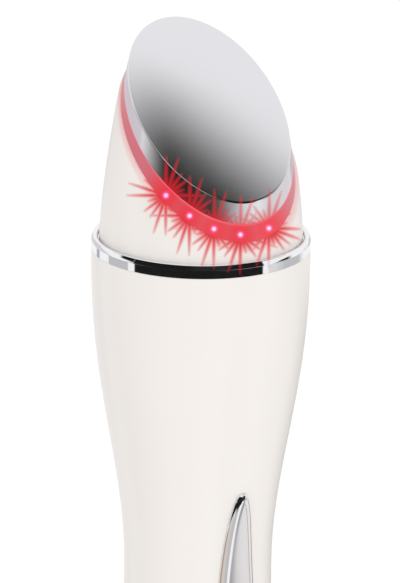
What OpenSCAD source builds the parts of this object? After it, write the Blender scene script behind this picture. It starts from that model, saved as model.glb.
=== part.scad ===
// Heated eye massager wand: a slanted, heated and lit metal plate on a waisted handle.
// +Z runs up the wand, the origin is the middle of the base, and the front (-Y) is
// the side that the plate, the inlay and the power button face.

/* [Handle] */
// Height of the chrome ring's lower edge above the base
ring_z = 113.5; // [108:0.5:137]
// Outer radius of the chrome ring, the widest part
ring_r = 14; // [13:0.1:17]
// Height of the waist
waist_z = 71; // [66:0.5:80]
// Outer radius of the handle at the waist
waist_r = 9.53; // [9:0.01:11.4]
// Height of the widest part below the waist
belly_z = 34; // [28:0.5:42]
// Outer radius at the widest part below the waist
belly_r = 10.8; // [10.4:0.1:13]
// Outer radius that the handle's curve reaches at the base
tail_r = 9.7; // [9.4:0.1:11.6]
// Wall of the handle sleeve
wall = 1.6; // [1.3:0.05:1.95]

/* [Head] */
// Slant of the massage plate from the horizontal
slant = 43; // [35:0.5:46]
// Height of the head shell at its front, above the ring's lower edge
front_rise = 3.32; // [3:0.02:6]
// Step from the ring's outer radius in to the head shell
ring_ledge = 1; // [0.8:0.05:1.3]
// How fast the head narrows towards its top
head_taper = 0.0325; // [0.02:0.0005:0.036]
// How far the shell stands proud of the plate and the light ring
shell_step = 0.45; // [0.3:0.05:0.6]
// Wall of the head shell
head_wall = 1.4; // [1.2:0.05:1.6]

/* [Plate and light ring] */
// Thickness of the plate's face
face_t = 1; // [0.8:0.05:1.2]
// Depth of the plate's rim, square to its face
rim_t = 1.9; // [1.7:0.05:2.1]
// Wall of the plate's rim
plate_wall = 1.5; // [1.3:0.05:1.6]
// Height of the light ring that shows, square to the face
glow_t = 1.57; // [1.4:0.01:1.7]
// Thickness of the LED board
led_board_t = 0.8; // [0.6:0.05:1]
// Azimuths of the LEDs from the front, seen from above
led_azimuths = [-54.2, -39, -24.4, -8.3, 12];

/* [Inlay and button] */
// Height of the inlay's pointed tip
inlay_tip_z = 83.2; // [78:0.2:90]
// Distance from the tip to the centre of the inlay's round end
inlay_len = 36; // [30:0.5:44]
// Half-width of the inlay 12 mm below its tip
inlay_half = 2.55; // [2.3:0.05:2.8]
// Width of the chrome edge
bezel_w = 0.95; // [0.8:0.05:1.05]
// How far the bezel's crest stands proud of the handle
bezel_proud = 0.83; // [0.6:0.01:1]
// Radius of the power button
button_r = 2.75; // [2.3:0.05:3.1]
// Travel of the power button
button_travel = 0.35; // [0.2:0.05:0.4]

/* [Works] */
// Diameter of the battery cell
cell_d = 10.2; // [8.4:0.1:10.4]
// Length of the battery cell
cell_len = 44; // [36:0.5:44.5]
// Diameter of the motor can
motor_d = 7; // [5.8:0.1:7.6]
// Length of the motor can
motor_len = 16; // [13:0.5:19.5]
// Thickness of the control board
board_t = 1; // [0.8:0.1:1.2]
// Width of the charging socket's shell
socket_w = 8.94; // [7.5:0.02:9.4]
// Height of the charging socket's shell
socket_h = 3.16; // [2.7:0.02:3.4]

/* [Hidden] */
$fn = 64;
gap = 0.05;             // assembly clearance between fixed pieces
slip = 0.1;             // clearance round the button
eps = 0.01;

// heights up the handle
cap_z = 5;              // seam between the end cap and the sleeve
spigot_top = 9;         // top of the end cap's spigot, where the chassis sits
register_top = 11.5;    // straight bore that takes the spigot
base_edge = 2.3;        // rounding of the base
floor_t = 1.8;          // floor of the end cap
shelf_z = ring_z - 7.1; // underside of the sleeve's inner shelf
shelf_t = 1.6;
flange_z = shelf_z + shelf_t;
flange_t = 1.4;
collar_z = flange_z + flange_t;     // foot of the head shell's collar
seat_z = ring_z + 1.1;              // shoulder of the ring that the head shell sits on

// outlines: the handle swings from ring to waist to belly, then eases to the base
function swing(t) = (1 + cos(180 * t)) / 2;
function handle_r(z) =
    z > waist_z ? waist_r + (ring_r - waist_r) * swing(pow((ring_z - z) / (ring_z - waist_z), 1.2))
    : z > belly_z ? waist_r + (belly_r - waist_r) * swing((z - belly_z) / (waist_z - belly_z))
    : tail_r + (belly_r - tail_r) * cos(90 * (belly_z - z) / belly_z);
function bore_r(z) = handle_r(z) - wall;

// the head narrows faster and faster towards its top; h is the height above the ring's edge
taper_from = 1.2;
neck_r = ring_r - ring_ledge;
function shell_r(h) = neck_r - head_taper * pow(max(h - taper_from, 0), 1.45);
function form_r(z) = shell_r(z - ring_z) - shell_step;      // plate and light ring

register_r = bore_r(cap_z);             // bore for the end cap
upper_bore = bore_r(flange_z) + 0.02;   // bore for the neck frame and the ring

// the slanted stack: depths below the plate's face, square to it
glow_depth = rim_t + glow_t;
face_z = ring_z + front_rise + tan(slant) * shell_r(front_rise) + glow_depth / cos(slant);
led_h = 1.4;
board_depth = glow_depth + 0.13;
carrier_depth = board_depth + led_board_t;
carrier_t = 1.2;
bulkhead_depth = carrier_depth + carrier_t;
bulkhead_t = 1.2;
film_t = 0.2;
gasket_t = 0.3;
led_w = 2;
led_d = 1.2;
led_inset = plate_wall + 0.6;
posts = [[-5.4, 1], [5.4, 1], [0, -9]];     // screw posts, in the plane of the face
post_r = 1.6;
wire_hole_r = 3;

// the works in the handle
chassis_top = 57;
chassis_r = bore_r(chassis_top) - 0.4;
cell_y = chassis_r - cell_d / 2 - 0.6;
cell_z = register_top + 0.2;
board_back = cell_y - cell_d / 2 - 0.4;
board_front = board_back - board_t;
board_low = 12.5;
board_high = 63;
board_half = 5.5;
button_z = inlay_tip_z - inlay_len;
tact_h = 1.2;
tact_w = 5.2;
plunger_r = 1.05;
plunger_out = 0.5;
plunger_tail = 0.55;
tact_front = board_front - tact_h;
flange_r = button_r + 0.7;
inlay_depth = 0.8;      // recess in the sleeve
face_proud = bezel_proud - 0.03;
button_proud = face_proud + 0.4;

motor_top = flange_z - 0.4;
motor_bottom = motor_top - motor_len;
boot_t = 0.5;
shaft_r = 0.5;
shaft_play = 0.05;
weight_h = 3.8;

shell_white = [0.96, 0.95, 0.93];
mould_white = [0.9, 0.9, 0.88];
chrome = [0.8, 0.81, 0.83];
satin = [0.72, 0.72, 0.74];
steel = [0.6, 0.61, 0.63];
board_green = [0.1, 0.4, 0.22];
soft_grey = [0.35, 0.35, 0.37];

// ---- shared forms ----

// solid of revolution between two heights, with its radius from a function of the row
module turned(points) rotate_extrude($fn = 96) polygon(points);

// the head's form for the plate and light ring, drawn in by inset
module head_form(inset, low = 0, high = 32, steps = 16)
    turned(concat([[0, ring_z + low]],
        [for (i = [0:steps]) let (h = low + (high - low) * i / steps)
            [form_r(ring_z + h) - inset, ring_z + h]],
        [[0, ring_z + high]]));

// everything between two depths below the slanted face
module slab(top, bottom)
    translate([0, 0, face_z]) rotate([slant, 0, 0])
        translate([-30, -40, -bottom]) cube([60, 80, bottom - top]);

// a layer of the slanted stack
module layer(inset, top, bottom) intersection() {
    head_form(inset);
    slab(top, bottom);
}

// puts children on the slanted face, at x and s in its plane, depth below it
module on_face(x, s, depth)
    translate([0, 0, face_z]) rotate([slant, 0, 0]) translate([x, s, -depth]) children();

// the handle's outside, moved out by grow, between two heights
module handle_form(grow, low, high, steps = 22)
    turned(concat([[0, low]],
        [for (i = [0:steps]) let (z = low + (high - low) * i / steps) [handle_r(z) + grow, z]],
        [[0, high]]));

// a cylinder that points to the front, from y = back to y = front
module rod_y(x, z, r, back, front)
    translate([x, back, z]) rotate([90, 0, 0]) rotate([0, 0, 30]) cylinder(r = r, h = back - front);

module screw(head_r, head_h, shank_r, len) {
    difference() {
        cylinder(r = head_r, h = head_h);
        for (a = [0, 90]) rotate([0, 0, a])
            translate([-head_r * 0.65, -0.16, -eps]) cube([head_r * 1.3, 0.32, head_h * 0.5]);
    }
    translate([0, 0, head_h - eps]) cylinder(r = shank_r, h = len);
}

module pill(w, h) {
    square([w - h, h], center = true);
    for (s = [-1, 1]) translate([s * (w - h) / 2, 0]) circle(d = h);
}

// a wire along hand-chosen points, rounded by a spline, with eight sides
wire_r = 0.45;
function spline(p, i, t) =
    let (a = p[max(i - 1, 0)], b = p[i], c = p[i + 1], d = p[min(i + 2, len(p) - 1)])
    0.5 * (2 * b + (c - a) * t + (2 * a - 5 * b + 4 * c - d) * t * t
        + (3 * b - 3 * c + d - a) * t * t * t);
function unit(v) = v / norm(v);
module wire(points, r = wire_r, cuts = 4) {
    path = concat([for (i = [0:len(points) - 2]) for (k = [0:cuts - 1])
        spline(points, i, k / cuts)], [points[len(points) - 1]]);
    n = len(path);
    rings = [for (i = [0:n - 1])
        let (along = unit(path[min(i + 1, n - 1)] - path[max(i - 1, 0)]),
            u = unit(cross(along, [0.25, 1, 0])), v = cross(along, u))
        for (k = [0:7]) path[i] + r * (cos(45 * k) * u + sin(45 * k) * v)];
    polyhedron(points = rings, faces = concat(
        [[for (k = [0:7]) k]],
        [for (i = [0:n - 2]) for (k = [0:7]) let (a = i * 8 + k, b = i * 8 + (k + 1) % 8)
            each [[a, a + 8, b], [b, a + 8, b + 8]]],
        [[for (k = [7:-1:0]) (n - 1) * 8 + k]]));
}

// ---- head: slanted stack ----

module massage_plate() color(satin) {
    difference() {
        union() {
            layer(0.12, 0, 0.12);
            layer(0, 0.12 - eps, rim_t);
        }
        layer(plate_wall, face_t, rim_t + 1);
    }
    for (p = posts) on_face(p[0], p[1], board_depth) difference() {
        cylinder(r = post_r, h = board_depth - face_t + eps);
        translate([0, 0, -eps]) cylinder(r = 0.72, h = 1.9);
    }
}

// holes round the screw posts and for the wires, between two depths
module post_holes(r, top = 0, bottom = 8) for (p = posts)
    on_face(p[0], p[1], bottom) cylinder(r = r, h = bottom - top);
module wire_hole(top = 0, bottom = 8) on_face(0, 3, bottom) cylinder(r = wire_hole_r, h = bottom - top);

module heater_film() color([0.75, 0.45, 0.15]) difference() {
    layer(plate_wall + 0.3, face_t, face_t + film_t);
    post_holes(post_r + 0.2);
}

// bead of the temperature sensor, glued to the film
module thermistor() color("black")
    on_face(0, -3, face_t + film_t + 0.8) translate([-0.9, -0.5, 0]) cube([1.8, 1, 0.8]);

module heater_pad() color(soft_grey) difference() {
    layer(led_inset + led_d + 0.6, face_t + film_t, board_depth);
    post_holes(post_r + 0.3);
    on_face(0, -3, face_t + film_t + 1.2) translate([-1.3, -0.9, 0]) cube([2.6, 1.8, 2]);
    wire_hole();
}

module plate_gasket() color(soft_grey) difference() {
    layer(0.5, rim_t, rim_t + gasket_t);
    layer(1.2, rim_t - 1, rim_t + 1);
}

// translucent ring: a wall that shows, and a skirt that drops behind the shell's mouth
skirt_inset = head_wall - shell_step + gap;
module light_ring() color([0.9, 0.2, 0.28]) difference() {
    union() {
        layer(0, rim_t, glow_depth);
        layer(skirt_inset, glow_depth - 0.3, carrier_depth);
    }
    layer(plate_wall, rim_t - 1, glow_depth);
    layer(plate_wall + 0.5, glow_depth - eps, carrier_depth + 1);
    difference() {
        layer(0.45, rim_t - 1, rim_t + gasket_t + 0.02);
        layer(1.25, rim_t - 2, rim_t + 1);
    }
}

// radius at which the slanted plane at a depth meets the form drawn in by inset
function edge_r(azimuth, depth, inset, tries = 9) = tries == 0 ? form_r(ring_z + 10) - inset
    : form_r(face_z - tan(slant) * cos(azimuth) * edge_r(azimuth, depth, inset, tries - 1)
        - depth / cos(slant)) - inset;

module at_led(azimuth) {
    mid = board_depth - led_h / 2;
    r = edge_r(azimuth, mid, led_inset + led_d / 2);
    y = -r * cos(azimuth);
    on_face(r * sin(azimuth), (y - mid * sin(slant)) / cos(slant), board_depth)
        rotate([0, 0, atan2(sin(azimuth), cos(azimuth) * cos(slant))]) children();
}

module red_leds() color([1, 0.5, 0.6]) for (a = led_azimuths) at_led(a) difference() {
    translate([-led_w / 2, -led_d / 2, 0]) cube([led_w, led_d, led_h]);
    translate([-led_w / 2 + 0.3, -led_d / 2 - eps, 0.35]) cube([led_w - 0.6, 0.25, led_h - 0.6]);
}

module led_board() color(board_green) difference() {
    layer(plate_wall + 0.5 + gap, board_depth, carrier_depth);
    post_holes(0.95);
    wire_hole();
}

module plate_carrier() color(mould_white) difference() {
    layer(skirt_inset, carrier_depth, bulkhead_depth);
    post_holes(0.95);
    wire_hole();
}

module plate_screws() color(steel) for (p = posts)
    on_face(p[0], p[1], bulkhead_depth + bulkhead_t + 1)
        screw(1.4, 1, 0.7, bulkhead_depth + bulkhead_t - board_depth + 1.6);

// ---- head shell ----

boss_r = 1.7;
collar_out = ring_r - wall - 1.05;
collar_in = collar_out - 1.1;
boss_at = collar_in - 1.35;
module head_shell() color(shell_white) {
    mouth = glow_depth;
    round_r = shell_step;
    difference() {
        union() {
            // outer skin, rounded over to the mouth in three steps
            for (turn = [0, 30, 60])
                layer(-shell_step + round_r * (1 - cos(turn)), mouth + round_r * (1 - sin(turn)), 60);
        }
        // hollow down to the bulkhead, then below it
        layer(head_wall - shell_step, 0, bulkhead_depth);
        intersection() {
            head_form(head_wall - shell_step, seat_z - ring_z + head_wall);
            slab(bulkhead_depth + bulkhead_t, 60);
        }
        translate([0, 0, seat_z - 40]) cylinder(r = 30, h = 40);
        translate([0, 0, seat_z - 1]) cylinder(r = collar_in, h = head_wall + 1 + eps);
        post_holes(0.85, bulkhead_depth - 0.5, bulkhead_depth + bulkhead_t + 0.5);
        wire_hole(bulkhead_depth - 0.5, bulkhead_depth + bulkhead_t + 0.5);
    }
    difference() {
        translate([0, 0, collar_z]) cylinder(r = collar_out, h = seat_z - collar_z + eps);
        translate([0, 0, collar_z - 1]) cylinder(r = collar_in, h = 10);
    }
    for (a = [90, 210, 330]) rotate([0, 0, a]) translate([boss_at, 0, collar_z]) difference() {
        cylinder(r = boss_r, h = seat_z - collar_z);
        translate([0, 0, -eps]) cylinder(r = 0.82, h = 4.2);
    }
}

// ---- neck ----

module chrome_ring() color(chrome) {
    top = 1.6;
    edge = 0.4;
    roll = 1.1;         // height over which the band rolls in to its top
    recess = neck_r + 0.1;
    turned(concat(
        [[collar_out + gap, ring_z - 1.5], [upper_bore - gap, ring_z - 1.5],
            [upper_bore - gap, ring_z], [ring_r, ring_z]],
        [for (a = [0:15:90])
            [ring_r - edge + edge * cos(a), ring_z + top - roll + roll * sin(a)]],
        [[recess + 0.2, ring_z + 1.5], [recess, ring_z + 1.25], [recess, seat_z],
            [collar_out + gap, seat_z]]));
}

seal_r = 0.36;
module neck_seal() color("black")
    translate([0, 0, ring_z - 1.5 - seal_r - 0.02])
        rotate_extrude($fn = 96) translate([(collar_out + upper_bore) / 2, 0])
            circle(r = seal_r, $fn = 24);

// flange and collar in the sleeve's top, with the motor's tube below
module neck_frame() color(mould_white) {
    tube_in = motor_d / 2 + boot_t + gap;
    tube_out = tube_in + 1.1;
    collar_top = ring_z - 1.5 - 2 * seal_r - 0.1;
    bead_z = flange_z + 1.8;
    difference() {
        union() {
            turned([[0, flange_z], [upper_bore - gap, flange_z], [upper_bore - gap, bead_z],
                [upper_bore + 0.2, bead_z + 0.3], [upper_bore - gap, bead_z + 0.6],
                [upper_bore - gap, collar_top], [collar_out + gap, collar_top],
                [collar_out + gap, collar_z], [0, collar_z]]);
            translate([0, 0, motor_bottom - 0.6]) cylinder(r = tube_out, h = flange_z - motor_bottom + 0.6 + eps);
            for (a = [0, 90, 180, 270]) rotate([90, 0, a + 45]) translate([0, 0, -0.5])
                linear_extrude(1) polygon([[tube_out - 0.5, flange_z - 8], [tube_out - 0.5, flange_z + eps],
                    [collar_out - 1.4, flange_z + eps]]);
        }
        translate([0, 0, motor_bottom - 1]) cylinder(r = tube_in, h = motor_len + 1.4);
        translate([0, 0, motor_top]) cylinder(r = motor_d / 2 + 0.2, h = 4);
        for (a = [90, 210, 330]) rotate([0, 0, a]) translate([boss_at, 0, flange_z - 1])
            cylinder(r = 0.95, h = 4);
        // slots for the wires from the head
        for (s = [-1, 1]) translate([s * 7.6, 0, flange_z - 1]) linear_extrude(4)
            square([2.2, 3.6], center = true);
    }
}

module neck_screws() color(steel) for (a = [90, 210, 330])
    rotate([0, 0, a]) translate([boss_at, 0, flange_z - 1]) screw(1.5, 1, 0.8, 4.4);

// ---- motor ----

module motor_can() color(steel) difference() {
    union() {
        translate([0, 0, motor_bottom + 1.5]) cylinder(d = motor_d, h = motor_len - 1.5);
        translate([0, 0, motor_top - eps]) cylinder(r = 1.3, h = 0.7);
    }
    translate([0, 0, motor_bottom + 3]) cylinder(r = shaft_r + shaft_play, h = motor_len + 2);
}

module motor_end_cap() color([0.2, 0.2, 0.22]) {
    translate([0, 0, motor_bottom]) cylinder(d = motor_d - 0.3, h = 1.5);
    for (s = [-1, 1]) translate([s * 1.6 - 0.5, -0.15, motor_bottom - 1]) cube([1, 0.3, 1 + eps]);
}

module motor_boot() color(soft_grey) difference() {
    translate([0, 0, motor_bottom + 0.3]) cylinder(r = motor_d / 2 + boot_t, h = motor_len - 0.3);
    translate([0, 0, motor_bottom - 1]) cylinder(d = motor_d, h = motor_len + 2);
}

weight_z = motor_top + 0.95;
module motor_shaft() color(steel)
    translate([0, 0, motor_bottom + 3.2]) cylinder(r = shaft_r, h = weight_z + weight_h + 0.4 - motor_bottom - 3.2);

// half-round tungsten weight
module eccentric_weight() color([0.45, 0.45, 0.47]) difference() {
    translate([0, 0, weight_z]) union() {
        intersection() {
            cylinder(r = motor_d / 2 - 0.6, h = weight_h);
            translate([-5, -5, 0]) cube([10, 5, weight_h]);
        }
        cylinder(r = 1.2, h = weight_h);
    }
    translate([0, 0, weight_z - 1]) cylinder(r = shaft_r, h = weight_h + 2);
}

// ---- handle ----

// outline of the inlay, as seen from the front: a blunt pointed arch that widens along
// a power curve, runs straight, and closes in a round end
arch_power = 0.382;
arch_end = 13;
function arch_half(s) = inlay_half * pow(s / 12.1, arch_power);
arch_slope = arch_power * arch_half(arch_end) / arch_end;
end_r = (arch_half(arch_end) + arch_slope * (inlay_len - arch_end)) * cos(atan(arch_slope));
module inlay_outline(inset = 0) {
    half = concat(
        [for (s = [0.04, 0.2, 0.6, 1.3, 2.4, 4, 6.2, 9.2, arch_end]) [arch_half(s), -s]],
        [for (a = [atan(arch_slope):-10:-88])
            [end_r * cos(a), -inlay_len + end_r * sin(a)]]);
    offset(delta = -inset) polygon(concat([for (p = half) p],
        [for (i = [len(half) - 1:-1:0]) [-half[i][0], half[i][1]]]));
}
module inlay_prism(inset = 0)
    translate([0, -5, inlay_tip_z]) rotate([90, 0, 0]) linear_extrude(12) inlay_outline(inset);

inlay_low = inlay_tip_z - inlay_len - 6;
inlay_high = inlay_tip_z + 2;

stakes = [9, 24];       // heat stakes of the inlay, below its tip
bead_low = 8.1;
module handle_sleeve() color(shell_white) difference() {
    turned(concat([[register_r, cap_z]],
        [for (i = [0:12]) let (z = cap_z + (waist_z - cap_z) * i / 12) [handle_r(z), z]],
        [for (i = [1:18]) let (z = waist_z + (ring_z - waist_z) * i / 18) [handle_r(z), z]],
        [[upper_bore, ring_z], [upper_bore, flange_z], [collar_out - 0.3, flange_z],
            [collar_out - 0.3, shelf_z]],
        [for (i = [0:10]) let (z = shelf_z - 1 - (shelf_z - 1 - waist_z) * i / 10) [bore_r(z), z]],
        [for (i = [1:9]) let (z = waist_z - (waist_z - register_top) * i / 9) [bore_r(z), z]],
        [[register_r, register_top]]));
    // recess for the inlay
    difference() {
        inlay_prism();
        handle_form(-inlay_depth, inlay_low - 1, inlay_high + 1);
    }
    for (s = stakes) rod_y(0, inlay_tip_z - s, 0.75, -4, -14);
    rod_y(0, button_z, button_r + slip, -4, -14);
    // groove for the end cap's snap bead
    rotate_extrude($fn = 96) polygon([[register_r - 0.1, bead_low], [register_r + 0.3, bead_low + 0.3],
        [register_r + 0.3, bead_low + 0.7], [register_r - 0.1, bead_low + 1]]);
    // groove for the neck frame's snap bead
    rotate_extrude($fn = 96) polygon([[upper_bore - 0.1, flange_z + 1.6], [upper_bore + 0.3, flange_z + 1.9],
        [upper_bore + 0.3, flange_z + 2.3], [upper_bore - 0.1, flange_z + 2.6]]);
}

// the bezel bevels up from the handle to its crest: share of its width, share of its height
bevel = [[0, 0.4], [0.18, 0.65], [0.5, 0.85], [0.75, 1]];
module inlay_bezel() color(chrome) difference() {
    union() for (b = bevel) intersection() {
        inlay_prism(gap + b[0] * bezel_w);
        handle_form(b[1] * bezel_proud, inlay_low, inlay_high);
    }
    handle_form(gap - inlay_depth, inlay_low - 1, inlay_high + 1);
    inlay_prism(bezel_w);
}

module inlay_face() color(satin) {
    difference() {
        intersection() {
            inlay_prism(bezel_w + gap);
            handle_form(face_proud, inlay_low, inlay_high);
        }
        handle_form(gap - inlay_depth, inlay_low - 1, inlay_high + 1);
        rod_y(0, button_z, button_r + slip, -4, -14);
    }
    for (s = stakes) let (z = inlay_tip_z - s)
        rod_y(0, z, 0.7, -bore_r(z) + 0.5, -handle_r(z) + 0.2);
}

// ---- button and switch ----

button_face = -handle_r(button_z) - button_proud;
flange_front = -sqrt(pow(bore_r(button_z), 2) - pow(flange_r, 2)) + 0.12;
plunger_tip = tact_front - plunger_out;
module power_button() color(satin) {
    intersection() {
        rod_y(0, button_z, button_r, flange_front + eps, button_face - 1);
        translate([0, button_face + 14, button_z]) sphere(r = 14, $fn = 64);
    }
    rod_y(0, button_z, flange_r, flange_front + 0.7, flange_front);
    rod_y(0, button_z, 1.2, plunger_tip, flange_front + 0.7 - eps);
}

module switch_plunger() color("black")
    rod_y(0, button_z, plunger_r, tact_front + plunger_tail, plunger_tip);

module tact_switch() color(steel) difference() {
    translate([-tact_w / 2, tact_front, button_z - tact_w / 2]) cube([tact_w, tact_h, tact_w]);
    rod_y(0, button_z, plunger_r + slip, tact_front + plunger_tail + button_travel + 0.1, tact_front - 1);
}

// ---- boards ----

module control_board() color(board_green) {
    translate([-board_half, board_front, board_low])
        cube([2 * board_half, board_t, chassis_top - board_low]);
    translate([-board_half + 0.6, board_front, chassis_top - eps])
        cube([2 * board_half - 1.2, board_t, board_high - chassis_top]);
}

// x, z, width, height and thickness of each component on the board's front
components = [[0, 33, 5, 4.4, 1.4], [-2.6, 26, 3, 3, 1], [2.4, 26, 3.2, 3.2, 1.8],
    [-3, 40, 1.6, 2.4, 1], [3, 40, 1.6, 2.4, 1], [0, 20, 3.6, 2.6, 1.2], [-3.2, 18, 1.2, 2, 0.6],
    [3.2, 18, 1.2, 2, 0.6], [-3, 53, 1.6, 2.6, 1.1], [3, 53, 2, 1.4, 0.8]];
module board_components() color([0.15, 0.15, 0.16]) for (c = components)
    translate([c[0] - c[2] / 2, board_front - c[4], c[1] - c[3] / 2]) cube([c[2], c[4], c[3]]);

// white sockets that the leads plug into, at the board's top and foot
connector_w = 3.6;
connector_h = 2.6;
connector_t = 1.9;
plug_deep = 1;
// the top pair stands as far apart as the bore lets it
top_z = 61;
top_x = sqrt(pow(bore_r(top_z) - 0.15, 2) - pow(board_front - connector_t, 2)) - connector_w / 2;
motor_plug_z = 56.5;
foot_z = 14.6;
connectors = [[-top_x, top_z, 0], [top_x, top_z, 0], [0, motor_plug_z, 0], [0, foot_z, 180]];
module wire_connectors() color([0.93, 0.92, 0.88]) for (c = connectors)
    translate([c[0], board_front - connector_t / 2, c[1]]) rotate([0, c[2], 0]) difference() {
        cube([connector_w, connector_t, connector_h], center = true);
        translate([0, 0, connector_h / 2 - plug_deep / 2 + eps])
            cube([connector_w - 0.8, connector_t - 0.8, plug_deep + eps], center = true);
    }

// ---- chassis and battery ----

slot_half = board_half + slip;
chassis_holes = [[-5.2, -3], [5.2, -3], [0, 6.1]];
module chassis_plan(open = true) difference() {
    circle(r = chassis_r);
    translate([-20, -20 + board_front - 0.5]) square([40, 20]);
    translate([-slot_half, board_front - slip]) square([2 * slot_half, board_t + 2 * slip]);
    if (open) {
        translate([0, cell_y]) circle(d = cell_d + 0.2);
        translate([-board_half + 0.8, -20]) square([2 * board_half - 1.6, 20 + board_back + 2.3]);
    }
}
module chassis() color(mould_white) difference() {
    union() {
        translate([0, 0, register_top]) linear_extrude(chassis_top - 1 - register_top) chassis_plan();
        translate([0, 0, spigot_top]) linear_extrude(register_top - spigot_top) difference() {
            circle(r = register_r - 0.3);
            translate([-20, -20 + board_front - 0.5]) square([40, 20]);
            translate([-1.6, -20]) square([3.2, 21.5]);
        }
        translate([0, 0, chassis_top - 1 - eps]) linear_extrude(1) difference() {
            chassis_plan(false);
            translate([-2, -20]) square([4, 20 + cell_y]);
        }
    }
    for (p = chassis_holes) translate([p[0], p[1], spigot_top - 1]) {
        cylinder(r = 0.9, h = 5);
        translate([0, 0, register_top - spigot_top - 0.2]) cylinder(r = 1.5, h = 4);
    }
    // windows in the back that lighten the moulding
    for (z = [16, 30, 44]) translate([-2.2, 4, z]) cube([4.4, 8, 10]);
}

module chassis_screws() color(steel) for (p = chassis_holes)
    translate([p[0], p[1], register_top + 0.1]) rotate([180, 0, 0]) screw(1.4, 1, 0.8, 4.6);

module battery_cell() color([0.25, 0.45, 0.6]) translate([0, cell_y, cell_z]) {
    cylinder(d = cell_d, h = cell_len - 0.8);
    translate([0, 0, cell_len - 0.8 - eps]) cylinder(d = 5, h = 0.5);
}

// nickel strips welded to the cell's ends
module battery_tabs() color(chrome) {
    translate([-1.5, board_back + 0.1, cell_z - 0.15]) cube([3, cell_y - board_back, 0.15]);
    translate([-1.5, board_back + 0.1, cell_z + cell_len - 0.3]) cube([3, cell_y - board_back, 0.15]);
}

module battery_strip() color(soft_grey)
    translate([-1.5, board_back, 22]) cube([3, 0.3, 26]);

// ---- base ----

charge_back = socket_h / 2;
charge_t = 0.8;
charge_half = 6;
socket_z = 0.5;
socket_len = 7.3;
tongue_back = 6.3;
tongue_w = socket_w - 2.24;
spigot_r = register_r - slip;
spigot_in = spigot_r - 1.05;
module end_cap() color(shell_white) {
    difference() {
        turned(concat(
            [[0, 0], [handle_r(0) - base_edge, 0]],
            [for (a = [15:15:75])
                [handle_r(0) - base_edge * (1 - sin(a)), base_edge * (1 - cos(a))]],
            [[handle_r(base_edge), base_edge], [handle_r(cap_z), cap_z], [spigot_r, cap_z],
                [spigot_r, 6.1], [spigot_r - 0.65, 6.1], [spigot_r - 0.65, 7],
                [spigot_r, 7], [spigot_r, bead_low + 0.1], [spigot_r + 0.32, bead_low + 0.35],
                [spigot_r + 0.32, bead_low + 0.6], [spigot_r, spigot_top - 0.05],
                [spigot_r - 0.1, spigot_top], [spigot_in, spigot_top], [spigot_in, floor_t],
                [0, floor_t]]));
        translate([0, 0, -1]) linear_extrude(floor_t + 2) pill(socket_w + 0.25, socket_h + 0.25);
    }
    // guides for the charge board
    for (s = [-1, 1]) difference() {
        intersection() {
            translate([s * (charge_half + 0.7) - 1.5, charge_back - 0.9, floor_t - eps])
                cube([3, charge_t + 1.8, 6.6]);
            cylinder(r = spigot_in + 0.1, h = 20);
        }
        translate([-charge_half - gap, charge_back - gap, floor_t - 1])
            cube([2 * charge_half + 2 * gap, charge_t + 2 * gap, 10]);
    }
    for (p = chassis_holes) difference() {
        intersection() {
            translate([p[0], p[1], floor_t - eps]) cylinder(r = 1.7, h = spigot_top - floor_t);
            cylinder(r = spigot_in + 0.1, h = 20);
        }
        translate([p[0], p[1], spigot_top - 4]) cylinder(r = 0.82, h = 6);
    }
}

module end_cap_seal() color("black")
    translate([0, 0, 6.55]) rotate_extrude($fn = 96)
        translate([spigot_r - 0.65 + 0.36, 0]) circle(r = 0.35, $fn = 24);

module charge_board() color(board_green)
    translate([-charge_half, charge_back, floor_t + 0.1]) cube([2 * charge_half, charge_t, 6.6]);

module charging_socket() color(steel) translate([0, 0, socket_z]) difference() {
    linear_extrude(socket_len) pill(socket_w, socket_h);
    translate([0, 0, -1]) linear_extrude(tongue_back + 1.1) pill(socket_w - 0.6, socket_h - 0.6);
}

module socket_tongue() color("black") translate([0, 0, socket_z]) {
    translate([-tongue_w / 2, -0.35, 1.2]) cube([tongue_w, 0.7, tongue_back - 2]);
    translate([0, 0, tongue_back - 1]) linear_extrude(1) pill(socket_w - 0.65, socket_h - 0.65);
}

// ---- leads ----

connector_y = board_front - connector_t / 2;
plug_z = connector_h / 2 - plug_deep + 0.05;

// two leads side by side from the head to the board's top, down one side of the motor
module head_leads(side) for (s = [-1, 1])
    wire([[side * 1.6 + s * 0.8, 4.2, ring_z + 9.8], [side * 3.4 + s * 0.7, 3.4, ring_z + 5],
        [side * 7.4 + s * 0.6, 0, ring_z + 0.5], [side * 7.6 + s * 0.55, 0, flange_z + 0.7],
        [side * 7.4 + s * 0.6, 0, flange_z - 6], [side * 6.6 + s * 0.6, -0.6, 94],
        [side * 5.6 + s * 0.6, -1.2, 84], [side * 4.6 + s * 0.6, -3, 72],
        [side * (top_x + 0.2) + s * 0.6, connector_y, 66], [side * top_x + s * 0.6, connector_y, top_z + plug_z]]);

module heater_leads() color([0.75, 0.1, 0.1]) head_leads(-1);

module led_leads() color([0.9, 0.75, 0.2]) head_leads(1);

module motor_leads() color([0.15, 0.3, 0.75]) for (s = [-1, 1])
    wire([[s * 1.6, 0.62, motor_bottom - 0.6], [s * 1.6, 0.6, motor_bottom - 4], [s * 1.2, -1.4, 78],
        [s * 0.7, -4.4, 69], [s * 0.6, connector_y, 63.5],
        [s * 0.6, connector_y, motor_plug_z + plug_z]], 0.4);

module charge_leads() color([0.7, 0.1, 0.1]) for (s = [-1, 1])
    wire([[s * 0.6, charge_back - 0.7, 8.1], [s * 0.6, 0.4, 9.3], [s * 0.6, -1.6, 9.9], [s * 0.6, -4, 10.5],
        [s * 0.6, connector_y, 11.8], [s * 0.6, connector_y, foot_z - plug_z]], 0.4);

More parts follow.
